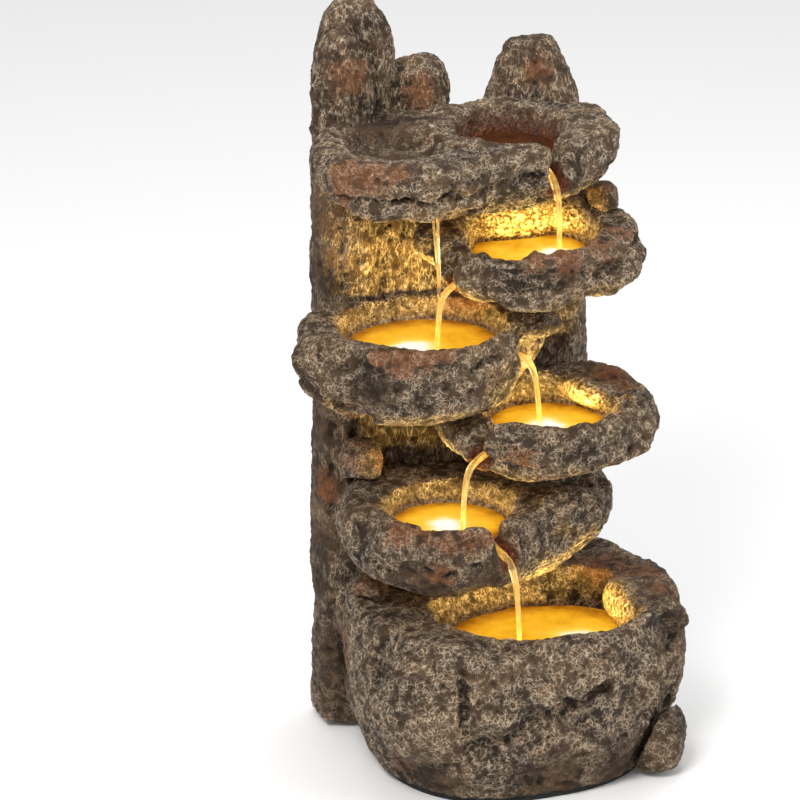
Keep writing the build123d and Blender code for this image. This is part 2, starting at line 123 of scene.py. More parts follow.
def apply_modifier(piece, kind, **settings):
    """Add one modifier with these settings and apply it."""
    modifier = piece.modifiers.new(kind.lower(), kind)
    for name, value in settings.items():
        setattr(modifier, name, value)
    choose(piece)
    bpy.ops.object.modifier_apply(modifier=modifier.name)


def copy_casting(node, name):
    """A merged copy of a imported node, free of its body."""
    piece = bpy.data.objects.new(name, frame["nodes"][node].data.copy())
    bpy.context.scene.collection.objects.link(piece)
    piece.data.materials.clear()
    choose(piece)
    bpy.ops.object.mode_set(mode="EDIT")
    bpy.ops.mesh.select_all(action="SELECT")
    bpy.ops.mesh.remove_doubles(threshold=1e-6)
    bpy.ops.object.mode_set(mode="OBJECT")
    return piece


def knob(place, radii, turn=0.0, lean=0.0):
    """A rounded lump in millimetres, leaned sideways and then turned about the vertical."""
    bpy.ops.mesh.primitive_ico_sphere_add(subdivisions=4, radius=1.0)
    lump = bpy.context.object
    shape = Matrix.Translation(Vector(place) * MM) @ Matrix.Rotation(radians(turn), 4, "Z")
    shape = shape @ Matrix.Rotation(radians(lean), 4, "Y") @ Matrix.Diagonal((*(Vector(radii) * MM), 1.0))
    lump.data.transform(shape)
    return lump


def press_on(piece, lumps):
    """Join lumps to a piece."""
    choose(*lumps, piece)
    bpy.ops.object.join()


def pattern(name, kind, size, **settings):
    """A displacement pattern; size is in millimetres."""
    texture = bpy.data.textures.new(name, kind)
    texture.noise_scale = size * MM
    for key, value in settings.items():
        setattr(texture, key, value)
    return texture


def grain_guide(name, scale, turn):
    """An empty whose axes stretch a pattern: flat for bedding, tall for columns."""
    bpy.ops.object.empty_add(location=(0, 0, 0))
    guide = bpy.context.object
    guide.name = name
    guide.scale = scale
    guide.rotation_euler = [radians(a) for a in turn]
    return guide


broad_lumps = pattern("broad_lumps", "CLOUDS", 27, noise_depth=2)
strata_bands = pattern("strata_bands", "CLOUDS", 9, noise_depth=2)
crinkle = pattern("crinkle", "MUSGRAVE", 6.0, musgrave_type="RIDGED_MULTIFRACTAL", octaves=2.5, noise_intensity=0.55)
crumbled = pattern("crumbled", "CLOUDS", 4.5, noise_depth=2)
bedding = grain_guide("bedding_plane", (4.5, 4.5, 0.8), (4, -9, 0))
upright = grain_guide("upright_grain", (0.9, 0.9, 9.0), (0, 1.5, 0))


def displace(piece, texture, depth, middle=0.5, group="", guide=None):
    """Push the surface in and out by a pattern, at most depth millimetres apart."""
    settings = {"texture": texture, "strength": depth * MM, "mid_level": middle, "vertex_group": group}
    settings["texture_coords"] = "OBJECT" if guide else "LOCAL"
    if guide:
        settings["texture_coords_object"] = guide
    apply_modifier(piece, "DISPLACE", **settings)


def read(piece, what):
    """The points or the normals of a mesh as rows."""
    values = np.empty(len(piece.data.vertices) * 3)
    piece.data.vertices.foreach_get(what, values)
    return values.reshape(-1, 3)


def weigh(piece, name, weights):
    """A vertex group from one weight per vertex, in steps of a sixteenth."""
    group = piece.vertex_groups.new(name=name)
    steps = np.round(np.clip(weights, 0, 1) * 16).astype(int)
    for step in np.unique(steps):
        group.add(np.flatnonzero(steps == step).tolist(), float(step) / 16, "REPLACE")


def store(piece, name, values):
    """One number per vertex, for the paint to read."""
    attribute = piece.data.attributes.new(name, "FLOAT", "POINT")
    attribute.data.foreach_set("value", np.asarray(values, np.float32))


def smooth_step(low, high, x):
    """0 up to low, 1 from high on, and an even curve between them."""
    t = np.clip((x - low) / (high - low), 0, 1)
    return t * t * (3 - 2 * t)


def away_from(co, line):
    """How far each point in millimetres is from a line of given points."""
    near = np.full(len(co), 1e9)
    for start, end in zip(line, line[1:] or line):
        start, way = np.array(start, float), np.array(end, float) - np.array(start, float)
        along = np.clip((co - start) @ way / max(way @ way, 1e-9), 0, 1)
        near = np.minimum(near, np.linalg.norm(co - start - along[:, None] * way, axis=1))
    return near


def carve(piece, strokes, chips):
    """Strokes are (line, width, depth), cut in where depth is below 0; chips are (place, facing, reach, depth)."""
    co, facing = read(piece, "co") / MM, read(piece, "normal")
    # The hand shakes, so no stroke is straight or even: a slow swing and a quick one, in millimetres.
    slow = 1.7 * np.sin(0.29 * co[:, [1, 2, 0]] + (0.3, 1.9, 4.1))
    quick = 1.0 * np.sin(0.81 * co[:, [2, 0, 1]] + (2.2, 0.4, 5.3))
    shake = slow + quick
    uneven = 1.25 + 0.45 * np.sin(0.17 * co[:, 0] + 0.23 * co[:, 2] + 0.6)
    for place, way, reach, depth in chips:
        way = np.array(way, float) / np.linalg.norm(way)
        above = (co - np.array(place, float)) @ way + depth
        share = 1 - smooth_step(0.7 * reach, reach, away_from(co, [place]))
        co = co - (np.clip(above, 0, None) * share)[:, None] * way
    for line, width, depth in strokes:
        share = 1 - smooth_step(0.1 * width, width, away_from(co + shake, line))
        co = co + (depth * uneven * share)[:, None] * facing
    piece.data.vertices.foreach_set("co", (co * MM).ravel())
    piece.data.update()


def hammer(piece, count, reach, depth, seed, keep):
    """Flat facets all over, as a mason's hammer leaves them. keep holds 0 where the surface must stay."""
    smallest, largest = 0.6, 1.2
    co, facing = read(piece, "co") / MM, read(piece, "normal")
    spots = np.random.default_rng(seed)
    free = np.flatnonzero(keep > 0.9)
    for _ in range(count):
        spot = free[spots.integers(len(free))]
        size = spots.uniform(smallest, largest)
        above = (co - co[spot]) @ facing[spot] + depth * size
        share = (1 - smooth_step(0.8 * reach * size, reach * size, np.linalg.norm(co - co[spot], axis=1))) * keep
        co = co - (np.clip(above, 0, None) * share)[:, None] * facing[spot]
    piece.data.vertices.foreach_set("co", (co * MM).ravel())
    piece.data.update()


def dish_calm(co, dishes):
    """0 inside a dish, 1 well outside it. dishes are the openings that the castings keep clear."""
    spread, below = 1.62, 8 * MM  # a dish's wall is this much wider and its floor this much lower than its opening
    calm = np.ones(len(co))
    for low, high in dishes:
        middle, half = (low + high) / 2, (high - low) / 2
        across = np.hypot((co[:, 0] - middle.x) / (half.x * spread), (co[:, 1] - middle.y) / (half.y * spread))
        above = co[:, 2] > low.z - below
        calm = np.where(above, np.minimum(calm, smooth_step(0.86, 1.10, across)), calm)
    return calm


def stands_proud(piece, rounds):
    """How far each point stands out of the same surface smoothed, in millimetres."""
    smooth = bpy.data.objects.new("smoothed", piece.data.copy())
    bpy.context.scene.collection.objects.link(smooth)
    apply_modifier(smooth, "SMOOTH", factor=0.5, iterations=rounds)
    proud = ((read(piece, "co") - read(smooth, "co")) * read(piece, "normal")).sum(1) / MM
    bpy.data.objects.remove(smooth)
    return proud


def weather(piece, dishes=(), channels=(), guide=bedding, lumpy=4.0, bands=2.5, voxel=1.0, wear=8, skin=1.0,
            strokes=(), chips=(), facets=(44, 15.0, 2.4), seed=1, lumps=()):
    """Wear a packed rock round, carve it and crinkle its skin, and note what stands proud for the paint."""
    first_voxel, spout = 1.8, (6, 10)
    crinkle_depth, crumb_depth, rim_skin = 1.4, 0.8, 0.45
    fine_rounds, broad_rounds = 6, 60
    if lumps:
        press_on(piece, [knob(*lump) for lump in lumps])
    apply_modifier(piece, "REMESH", mode="VOXEL", voxel_size=first_voxel * MM)
    apply_modifier(piece, "SMOOTH", factor=0.6, iterations=wear)
    co = read(piece, "co")
    back = cad_box[1].y - 4.5 * MM
    hull = (1 - smooth_step(back - 8 * MM, back, co[:, 1])) * smooth_step(1 * MM, 8 * MM, co[:, 2])
    free = dish_calm(co, dishes) * hull
    for channel in channels:
        free = free * smooth_step(*spout, away_from(co / MM, channel))
    weigh(piece, "free", free)
    displace(piece, broad_lumps, lumpy, group="free")
    hammer(piece, *facets, seed, free)
    displace(piece, strata_bands, bands, group="free", guide=guide)
    carve(piece, strokes, chips)
    apply_modifier(piece, "REMESH", mode="VOXEL", voxel_size=voxel * MM)
    apply_modifier(piece, "SMOOTH", factor=0.5, iterations=2)
    co = read(piece, "co")
    calm = dish_calm(co, dishes)
    hull = (1 - smooth_step(back - 4 * MM, back, co[:, 1])) * smooth_step(0.5 * MM, 4 * MM, co[:, 2])
    weigh(piece, "skin", (rim_skin + (1 - rim_skin) * calm) * hull)
    displace(piece, crinkle, crinkle_depth * skin, group="skin")
    displace(piece, crumbled, crumb_depth * skin, group="skin")
    store(piece, "proud", stands_proud(piece, fine_rounds))
    store(piece, "ridge", stands_proud(piece, broad_rounds))
    choose(piece)
    bpy.ops.object.shade_smooth()


# The paint: near-black umber in the hollows, brown over it, rust patches, and a pale dry-brush on the crinkles.
umber, bone, dull_bone = (0.011, 0.006, 0.003, 1), (0.90, 0.70, 0.47, 1), (0.66, 0.53, 0.39, 1)
dark_brown, light_brown = (0.028, 0.016, 0.009, 1), (0.108, 0.061, 0.031, 1)
dark_rust, bright_rust, rust_dust = (0.045, 0.014, 0.006, 1), (0.33, 0.118, 0.040, 1), (0.50, 0.31, 0.19, 1)


def link(material, source, output, target, socket):
    material.node_tree.links.new(source.outputs[output], target.inputs[socket])


def add_node(material, kind, **settings):
    """A shader node with these inputs and settings."""
    node = material.node_tree.nodes.new(kind)
    for name, value in settings.items():
        if name in node.inputs:
            node.inputs[name].default_value = value
        else:
            setattr(node, name, value)
    return node


def ramp(material, source, output, stops):
    """A colour ramp fed by one output. Stops are (place, colour or grey)."""
    node = add_node(material, "ShaderNodeValToRGB")
    while len(node.color_ramp.elements) < len(stops):
        node.color_ramp.elements.new(0.5)
    for element, (place, colour) in zip(node.color_ramp.elements, stops):
        element.position = place
        element.color = colour if isinstance(colour, tuple) else (colour, colour, colour, 1)
    link(material, source, output, node, "Fac")
    return node


def noise(material, coordinates, output, scale, detail=3.0, rough=0.55):
    """A soft pattern; scale is how many of its lumps fit in a metre."""
    node = add_node(material, "ShaderNodeTexNoise")
    node.inputs["Scale"].default_value = scale
    node.inputs["Detail"].default_value = detail
    node.inputs["Roughness"].default_value = rough
    link(material, coordinates, output, node, "Vector")
    return node


def maths(material, operation, *values, clamp=False):
    """One sum; each value is a number or a (node, output) pair."""
    node = add_node(material, "ShaderNodeMath", operation=operation, use_clamp=clamp)
    for index, value in enumerate(values):
        if isinstance(value, tuple):
            link(material, value[0], value[1], node, index)
        else:
            node.inputs[index].default_value = value
    return node


MIX_SHARE, MIX_FIRST, MIX_SECOND, MIXED = 0, 6, 7, 2  # a Mix node's sockets for two colours, and its output


def mix(material, share, first, second, blend="MIX"):
    """Blend two colours; each of the three is a value or a (node, output) pair."""
    node = add_node(material, "ShaderNodeMix", data_type="RGBA", blend_type=blend)
    for socket, value in ((MIX_SHARE, share), (MIX_FIRST, first), (MIX_SECOND, second)):
        if isinstance(value, tuple) and len(value) == 2:
            link(material, value[0], value[1], node, socket)
        else:
            node.inputs[socket].default_value = value
    return node


def crinkle_lines(material, source, output, scale, width):
    """Thin raised lines between small cells, as on crumpled paper."""
    cells = add_node(material, "ShaderNodeTexVoronoi", feature="DISTANCE_TO_EDGE")
    cells.inputs["Scale"].default_value = scale
    link(material, source, output, cells, "Vector")
    return ramp(material, cells, "Distance", [(0.0, 1.0), (width * 0.4, 0.58), (width * 0.9, 0.0)])


def painted_stone(name, brush=1.0, stretch=(1.0, 1.0, 1.0)):
    """The paint over the casting. brush is how much pale colour it takes, stretch is the scale of its grain."""
    material = bpy.data.materials.new(name)
    material.use_nodes = True
    shader = material.node_tree.nodes["Principled BSDF"]
    coordinates = add_node(material, "ShaderNodeTexCoord")
    marks = {}
    for mark in ("proud", "ridge", "wet", "lit", "stain", "bare"):
        marks[mark] = add_node(material, "ShaderNodeAttribute", attribute_name=mark)
    grain = add_node(material, "ShaderNodeMapping")
    grain.inputs["Scale"].default_value = stretch
    link(material, coordinates, "Object", grain, "Vector")
    wander = noise(material, grain, "Vector", 260.0, 3.0, 0.6)
    stray = 6.5 * MM
    warped = add_node(material, "ShaderNodeVectorMath", operation="MULTIPLY_ADD")
    link(material, wander, "Color", warped, 0)
    warped.inputs[1].default_value = (stray, stray, stray)
    link(material, grain, "Vector", warped, 2)

    wide_lines = crinkle_lines(material, warped, "Vector", 345.0, 0.13)
    fine_lines = crinkle_lines(material, warped, "Vector", 740.0, 0.17)
    speck = noise(material, grain, "Vector", 1100.0, 2.0, 0.6)
    patch = noise(material, coordinates, "Object", 42.0, 3.0, 0.6)
    breakup = noise(material, coordinates, "Object", 170.0, 2.0, 0.55)

    tint = ramp(material, patch, "Fac", [(0.34, 0.0), (0.66, 1.0)])
    brown = mix(material, (tint, "Color"), dark_brown, light_brown)
    shade = maths(material, "MULTIPLY_ADD", (speck, "Fac"), 1.1, 0.45)
    brown = mix(material, 1.0, (brown, MIXED), (shade, "Value"), "MULTIPLY")
    rust_share = maths(material, "MULTIPLY_ADD", (marks["stain"], "Fac"), 0.46, (breakup, "Fac"))
    rust_share = maths(material, "MULTIPLY_ADD", (speck, "Fac"), 0.25, (rust_share, "Value"))
    rust_mask = ramp(material, rust_share, "Value", [(0.76, 0.0), (1.16, 0.80)])
    rust = mix(material, (speck, "Fac"), dark_rust, bright_rust)
    body = mix(material, (rust_mask, "Color"), (brown, MIXED), (rust, MIXED))

    # Umber wash settles in every crevice and pit.
    sunk = maths(material, "MULTIPLY_ADD", (marks["ridge"], "Fac"), 0.30, 0.55)
    sunk = maths(material, "MULTIPLY_ADD", (marks["proud"], "Fac"), 0.9, (sunk, "Value"))
    wash = ramp(material, sunk, "Value", [(0.10, 0.0), (0.58, 1.0)])
    body = mix(material, (wash, "Color"), umber, (body, MIXED))

    # The dry-brush catches the thin crinkles and whatever stands proud, in patches.
    lines = maths(material, "MULTIPLY_ADD", (fine_lines, "Color"), 0.34, (wide_lines, "Color"), clamp=True)
    catch = ramp(material, breakup, "Fac", [(0.39, 0.08), (0.56, 1.0)])
    reach = maths(material, "MULTIPLY_ADD", (marks["proud"], "Fac"), 0.8, 0.62, clamp=True)
    pale = maths(material, "MULTIPLY", (lines, "Value"), (catch, "Color"))
    pale = maths(material, "MULTIPLY", (pale, "Value"), (reach, "Value"))
    tops = ramp(material, marks["proud"], "Fac", [(0.16, 0.0), (0.55, 0.75)])
    tops = maths(material, "MULTIPLY", (tops, "Color"), (catch, "Color"))
    pale = maths(material, "MAXIMUM", (pale, "Value"), (tops, "Value"))
    rubbed = maths(material, "MULTIPLY_ADD", (marks["bare"], "Fac"), -0.9, 1.0)
    pale = maths(material, "MULTIPLY", (pale, "Value"), (rubbed, "Value"))
    pale = maths(material, "MULTIPLY", (pale, "Value"), brush, clamp=True)
    cool = mix(material, (tint, "Color"), dull_bone, bone)
    warm = mix(material, (rust_mask, "Color"), (cool, MIXED), rust_dust)
    outside = mix(material, (pale, "Value"), (body, MIXED), (warm, MIXED))

    # Inside the dishes the stone is wet: a coarse grain, red-brown in the dark channels, and over the lamps an ochre
    # that is painted lamp light on the stone.
    grit = noise(material, coordinates, "Object", 520.0, 3.0, 0.7)
    painted_lamp_glow = ramp(material, grit, "Fac", [
        (0.36, (0.050, 0.024, 0.008, 1)), (0.50, (0.34, 0.20, 0.07, 1)), (0.64, (0.80, 0.68, 0.42, 1)),
    ])
    dark = ramp(material, grit, "Fac", [
        (0.36, (0.022, 0.007, 0.003, 1)), (0.56, (0.135, 0.036, 0.012, 1)), (0.70, (0.34, 0.14, 0.06, 1)),
    ])
    # Where a lamp lights the dish, painted lamp light in ochre takes the place of the wet stone colour.
    wet_with_painted_glow = mix(material, (marks["lit"], "Fac"), (dark, "Color"), (painted_lamp_glow, "Color"))
    coloured = mix(material, (marks["wet"], "Fac"), (outside, MIXED), (wet_with_painted_glow, MIXED))
    link(material, coloured, MIXED, shader, "Base Color")

    dull = maths(material, "MULTIPLY_ADD", (marks["wet"], "Fac"), -0.38, 0.84)
    gloss = maths(material, "MULTIPLY_ADD", (speck, "Fac"), -0.25, (dull, "Value"))
    link(material, gloss, "Value", shader, "Roughness")
    shader.inputs["Specular IOR Level"].default_value = 0.22
    height = maths(material, "MULTIPLY_ADD", (speck, "Fac"), 0.55, (lines, "Value"))
    height = maths(material, "MULTIPLY_ADD", (grit, "Fac"), 0.8, (height, "Value"))
    bump = add_node(material, "ShaderNodeBump")
    bump.inputs["Strength"].default_value = 0.85
    bump.inputs["Distance"].default_value = 0.9 * MM
    link(material, height, "Value", bump, "Height")
    link(material, bump, "Normal", shader, "Normal")
    return material


stone_paint = painted_stone("painted_stone")
column_paint = painted_stone("painted_column", brush=0.75, stretch=(1.0, 1.0, 0.35))


def finish_rock(piece, node, material, dishes, dark_dishes, channels, stains, bare):
    """Mark what is wet, lit, stained (x, y, z, radius) or left plain brown, then paint, body and slot."""
    rear_bare, spout = 0.8, (5.5, 8.5)
    co = read(piece, "co")
    rear = rear_bare * smooth_step(cad_box[1].y - 8 * MM, cad_box[1].y - 2 * MM, co[:, 1])
    lit = 1 - dish_calm(co, dishes)
    dark = 1 - dish_calm(co, dark_dishes)
    for channel in channels:
        dark = np.maximum(dark, (1 - smooth_step(*spout, away_from(co / MM, channel))) * (1 - lit))
    store(piece, "wet", np.clip(lit + dark, 0, 1))
    # The lit mark is where the stone paint shows painted lamp light.
    store(piece, "lit", np.where(lit > dark, 1.0, 0.0))
    for name, spots in (("stain", stains), ("bare", bare)):
        marked = np.zeros(len(co)) if name == "stain" else rear
        for *place, radius in spots:
            marked = np.maximum(marked, 1 - smooth_step(0.1 * radius, 1.1 * radius, away_from(co / MM, [place])))
        store(piece, name, marked)
    piece.data.materials.append(material)
    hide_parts(node)
    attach(piece, "fountain")


openings = {o["name"]: (Vector(o["box_m"][0]), Vector(o["box_m"][1])) for o in frame["record"]["physics"]["openings"]}


def rock(node, dishes=(), dark_dishes=(), dry=(), channels=(), stains=(), bare=(), material=stone_paint, **carving):
    """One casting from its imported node: carved round its dishes, then painted. dry dishes stay plain stone."""
    piece = copy_casting(node, node + "_rock")
    boxes = {d: openings[d] for d in (*dishes, *dark_dishes, *dry)}
    weather(piece, dishes=list(boxes.values()), channels=channels, **carving)
    lit, dark = [boxes[d] for d in dishes], [boxes[d] for d in dark_dishes]
    finish_rock(piece, node, material, lit, dark, channels, stains, bare)


# Two beds of rock show in the shelf's front edge, with a deep crack between them that the lamps below light up.
rock(
    "crown_shelf", dark_dishes=("source_dish",), dry=("dry_dish",),
    lumps=[((-22, 57, 321), (58, 9, 12)), ((-50, -18, 317), (36, 12, 6), -4), ((-64, -28, 338), (32, 10, 7), -14)],
    channels=[[(14, 4, 331), (21, -14, 322), (22, -24, 318)]],
    strokes=[
        ([(-96, -6, 326), (-86, -24, 325), (-72, -31, 325), (-60, -33, 324), (-41, -31, 323), (-22, -26, 323),
            (-4, -25, 323)], 4.5, -6.0),
        ([(-12, -26, 328), (-2, -26, 327), (8, -24, 328)], 6.5, -6.5),
        ([(-88, -20, 331), (-72, -30, 331), (-50, -34, 331), (-30, -30, 330)], 5.0, 1.8),
        ([(-85, -17, 318), (-66, -27, 317), (-44, -26, 317), (-20, -20, 317)], 5.0, 2.2),
        ([(-96, -12, 337), (-84, -26, 335), (-70, -33, 338)], 2.2, -1.6),
        ([(-80, -30, 341), (-79, -29, 333)], 1.8, -1.4), ([(-88, -22, 340), (-90, -18, 332)], 1.8, -1.4),
        ([(33, -20, 339), (47, -13, 331), (56, -4, 326)], 4.0, -2.4),
    ],
    chips=[((-70, -33, 338), (-0.25, -0.9, 0.2), 14, 1.5), ((49, -15, 340), (0.5, -0.75, 0.45), 16, 3.0),
        ((30, -22, 332), (0.1, -1, -0.2), 12, 2.0)],
    stains=[(-94, -17, 338, 20), (-83, -28, 340, 18), (-70, -33, 343, 12), (-95, -11, 325, 12)],
    bare=[(-55, 42, 345, 34), (-15, 8, 345, 16), (-57, 10, 336, 27)], facets=(34, 15.0, 2.0), seed=4,
)

# ---------------------------------------------------------------- the four lit bowls
# Each bowl is a separate casting set into the wall, with a dish, a worn spout and a lamp below the water.
# The second tier is a crescent with a deep groove round its front and a rock mass behind its dish.
rock(
    "upper_right_bowl", dishes=("upper_right_dish",),
    channels=[[(-10, -3, 275), (-39, -13, 268), (-46, -16, 264)]],
    lumps=[((16, -38, 270), (36, 11, 9)), ((55, -24, 277), (13, 26, 10), -24), ((22, -38, 288), (40, 8, 6)),
        ((20, 47, 283), (44, 18, 19)), ((52, 36, 288), (20, 22, 13)), ((-24, 30, 280), (16, 16, 14))],
    strokes=[
        ([(-12, -39, 277), (9, -46, 278), (21, -47, 280), (42, -43, 283), (66, -24, 285), (72, -8, 286)], 5.5, -2.4),
        ([(-18, -34, 271), (0, -39, 271), (21, -42, 273), (44, -38, 276), (64, -20, 279)], 5.0, 1.8),
        ([(-4, -33, 291), (18, -36, 292), (38, -31, 292), (56, -12, 292)], 4.5, 1.4),
        ([(-32, -22, 285), (-26, -30, 280), (-18, -33, 272)], 2.6, -1.6),
    ],
    chips=[((-28, -27, 284), (-0.6, -0.7, 0.4), 11, 2.2), ((30, -41, 267), (0.1, -0.8, -0.5), 15, 1.6)],
    stains=[(4, -38, 291, 14), (18, -40, 290, 14), (37, -34, 291, 17), (55, -16, 291, 15), (40, 40, 292, 16),
        (-36, -12, 268, 9)],
    bare=[(20, -42, 281, 12), (45, -36, 286, 12)], seed=11,
)
rock(
    "upper_left_bowl", dishes=("upper_left_dish",),
    channels=[[(-14, -9, 233), (5, -20, 229), (10, -23, 226)]],
    lumps=[((-44, 53, 218), (50, 9, 17)), ((-46, -31, 213), (36, 12, 7)), ((-103, 2, 232), (15, 20, 14)),
        ((-98, -12, 224), (13, 14, 13)), ((14, 8, 238), (20, 14, 9), -20)],
    strokes=[
        ([(-90, -28, 238), (-81, -36, 235), (-69, -42, 235), (-55, -43, 235), (-42, -43, 236), (-27, -40, 235),
            (-14, -34, 235)], 4.0, -3.4),
        ([(-74, -41, 226), (-55, -44, 226), (-40, -43, 227), (-25, -40, 227)], 2.6, -1.8),
        ([(-78, -36, 216), (-55, -40, 215), (-34, -37, 216), (-15, -31, 218)], 3.0, -2.2),
        ([(-76, -38, 221), (-55, -42, 220), (-33, -40, 221), (-14, -34, 222)], 4.0, 1.3),
        ([(-112, -2, 240), (-106, -12, 240), (-100, -17, 242), (-94, -22, 244)], 3.6, 1.6),
        ([(-102, -18, 236), (-96, -23, 237), (-90, -28, 240)], 3.4, -1.8),
        ([(-92, -28, 236), (-89, -31, 228), (-85, -33, 220)], 2.6, -1.8),
    ],
    chips=[((-84, -34, 223), (-0.62, -0.78, -0.05), 15, 3.0), ((-104, -6, 220), (-0.7, -0.5, -0.5), 13, 2.2)],
    stains=[(-81, -34, 243, 12), (-71, -39, 242, 15), (-58, -42, 242, 13), (-46, -42, 245, 10), (-14, 30, 246, 22),
        (6, 24, 245, 14)],
    bare=[(-84, -34, 223, 17), (-92, -27, 239, 8)], seed=23,
)
rock(
    "lower_right_bowl", dishes=("lower_right_dish",),
    channels=[[(-8, -28, 186), (-32, -39, 180), (-38, -42, 177)]],
    lumps=[((22, 52, 181), (44, 9, 14)), ((56, 10, 196), (19, 26, 9), 8), ((20, 34, 194), (36, 12, 11))],
    strokes=[
        ([(-17, -45, 198), (-6, -51, 197), (8, -55, 195), (25, -55, 197), (42, -50, 199), (60, -32, 201),
            (68, -14, 201)], 4.6, 2.2),
        ([(-12, -51, 190), (8, -59, 188), (28, -60, 189), (48, -55, 192), (64, -40, 195)], 4.5, -1.6),
        ([(-22, -42, 182), (-4, -54, 179), (20, -58, 176), (40, -54, 178), (58, -42, 183)], 3.0, -2.0),
        ([(66, -38, 192), (71, -22, 193), (72, -6, 194)], 3.0, -2.0),
        ([(46, 0, 204), (62, 4, 204), (72, 10, 202)], 1.8, -1.2),
        ([(44, 12, 204), (60, 17, 203), (70, 24, 201)], 1.8, -1.2),
    ],
    chips=[((56, -46, 188), (0.5, -0.8, 0.1), 14, 2.0), ((-18, -48, 186), (-0.5, -0.8, -0.2), 12, 2.0)],
    stains=[(61, 9, 203, 18), (67, -5, 203, 12), (-10, -52, 184, 12), (-34, -40, 178, 9)],
    bare=[(60, 9, 203, 20)], seed=31,
)
rock(
    "lower_left_bowl", dishes=("lower_left_dish",),
    channels=[[(-26, -42, 138), (-18, -62, 134), (-16, -69, 130)]],
    lumps=[((-28, 52, 127), (52, 9, 17)), ((-66, -44, 140), (26, 9, 8), -38), ((-45, -57, 141), (13, 7, 6), -4),
        ((22, -26, 142), (30, 16, 14), 28), ((50, -6, 144), (9, 9, 9)), ((52, 4, 136), (8, 9, 9)),
        ((-80, -8, 140), (14, 22, 12))],
    strokes=[
        ([(-90, -14, 133), (-81, -37, 135), (-67, -52, 136), (-53, -60, 138), (-40, -62, 142),
            (-28, -63, 144)], 4.0, 2.0),
        ([(-88, -16, 125), (-79, -38, 126), (-64, -52, 127), (-48, -60, 129), (-33, -62, 132)], 4.0, -2.2),
        ([(-66, -50, 147), (-57, -55, 149), (-48, -57, 150), (-36, -54, 152)], 3.0, -2.6),
        ([(-6, -52, 143), (8, -46, 147), (26, -36, 148), (42, -26, 146)], 4.0, 1.6),
        ([(4, -50, 134), (24, -40, 134), (44, -26, 134)], 2.8, -1.8),
    ],
    chips=[((-72, -48, 144), (-0.6, -0.6, 0.5), 12, 1.8), ((-2, -54, 138), (0.1, -1, 0.1), 11, 2.0),
        ((32, -36, 140), (0.5, -0.8, 0.2), 14, 1.8)],
    stains=[(-72, -42, 150, 14), (-60, -48, 151, 14), (-50, -58, 145, 11), (-41, -61, 146, 11), (-32, -62, 146, 8),
        (-55, -58, 128, 12)],
    bare=[(-60, -50, 120, 26), (-30, -56, 120, 22)], seed=47,
)

# ---------------------------------------------------------------- reservoir base and the small stones
# The lowest and heaviest casting holds the basin in front and the pump chamber behind. A round belly stands out at
# the front left, a ledge climbs across the front, and four small stones fill the corners between the castings.
rock(
    "reservoir_base", dishes=("basin",), voxel=1.45, lumpy=5.0, bands=1.5, facets=(60, 19.0, 3.0), seed=5,
    lumps=[((-58, -48, 56), (33, 36, 37)), ((70, -26, 82), (18, 40, 16), 6), ((76, 4, 78), (16, 30, 14)),
        ((-6, -82, 68), (42, 10, 11), 0, -20), ((46, -66, 62), (26, 18, 24))],
    strokes=[
        ([(-52, -81, 88), (-49, -83, 76), (-48, -83, 60), (-46, -83, 44), (-40, -82, 34)], 5.0, -3.4),
        ([(-42, -83, 39), (-30, -86, 42), (-20, -88, 47), (-11, -90, 50), (2, -90, 58), (14, -87, 59), (26, -86, 64)],
            7.5, -5.0),
        ([(-30, -87, 35), (-8, -90, 42), (14, -88, 50)], 13.0, -2.6),
        ([(-44, -84, 52), (-26, -87, 57), (-9, -90, 64), (8, -90, 69), (24, -87, 73)], 12.0, 3.4),
        ([(-56, -78, 73), (-55, -78, 70)], 4.0, -3.6), ([(-46, -80, 34), (-44, -80, 31)], 4.0, -3.0),
        ([(-33, -81, 23), (-29, -81, 24)], 4.0, -2.6), ([(18, -86, 58), (21, -86, 55)], 4.5, -3.0),
        ([(24, -85, 84), (36, -83, 76), (44, -80, 69), (56, -72, 60), (64, -64, 50)], 4.5, -3.4),
        ([(40, -83, 66), (54, -74, 56)], 4.0, 1.8), ([(58, -66, 86), (66, -58, 76), (66, -56, 64)], 3.5, -2.2),
    ],
    chips=[((0, -90, 45), (0.05, -1, -0.15), 22, 2.6), ((70, -56, 76), (0.75, -0.65, 0.1), 18, 2.6),
        ((-78, -44, 70), (-0.9, -0.4, 0.1), 18, 2.0)],
    stains=[(81, -30, 90, 14), (76, -6, 92, 20), (60, 20, 92, 22), (-62, -40, 20, 18), (-80, 20, 60, 18)],
    bare=[(80, -34, 80, 34), (78, 6, 80, 30), (-60, -58, 14, 30), (0, -78, 8, 34), (40, -70, 12, 30),
        (-80, 40, 40, 50)],
)
small_stones = {"side_boulder": 61, "left_knob_stone": 62, "left_ledge_stone": 63, "right_perch_stone": 64}
for stone, seed in small_stones.items():
    low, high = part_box(stone)
    middle, half = (low + high) / 2 / MM, (high - low) / 2 / MM
    boulder = stone == "side_boulder"
    rock(
        stone, lumpy=2.4, bands=0.8, facets=(9, 10.0, 1.2), seed=seed, wear=5, skin=0.8,
        stains=[(*middle, (0.9 if boulder else 1.3) * max(half))],
        bare=[(*middle, 1.3 * max(half))] if boulder else [],
    )

